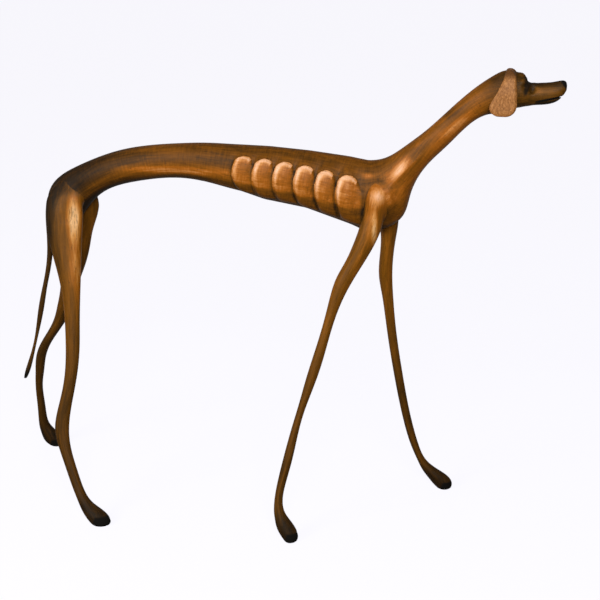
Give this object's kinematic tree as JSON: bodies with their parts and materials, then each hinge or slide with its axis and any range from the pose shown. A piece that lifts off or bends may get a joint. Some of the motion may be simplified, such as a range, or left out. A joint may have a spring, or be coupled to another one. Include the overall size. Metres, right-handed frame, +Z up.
{
  "type": "carved hound statue",
  "caption": "Carved hardwood statue of a long-legged hound in mid stride, neck stretched forward, standing free on its paws.",
  "frame": {"origin": "on the floor, under the centre of the statue's overall box", "axes": "+X towards the nose, +Y to the hound's left, +Z up"},
  "size_m": [0.7323, 0.2254, 0.6],
  "materials": {
    "oiled_wood": "hand-carved, oiled and rubbed to a satin",
    "ear_wood": "left paler and less oiled, fine tool marks",
    "dowel_wood": "raw turned wood, hidden in the joints"
  },
  "bodies": {
    "root": {"torso": "oiled_wood", "neck_and_head": "oiled_wood", "left_ear": "ear_wood", "right_ear": "ear_wood", "left_fore_leg": "oiled_wood", "right_fore_leg": "oiled_wood", "left_hind_leg": "oiled_wood", "right_hind_leg": "oiled_wood", "tail": "oiled_wood", "neck_dowels": "dowel_wood", "shoulder_dowels": "dowel_wood", "hip_dowels": "dowel_wood", "ear_pegs": "dowel_wood"}
  },
  "joints": []
}
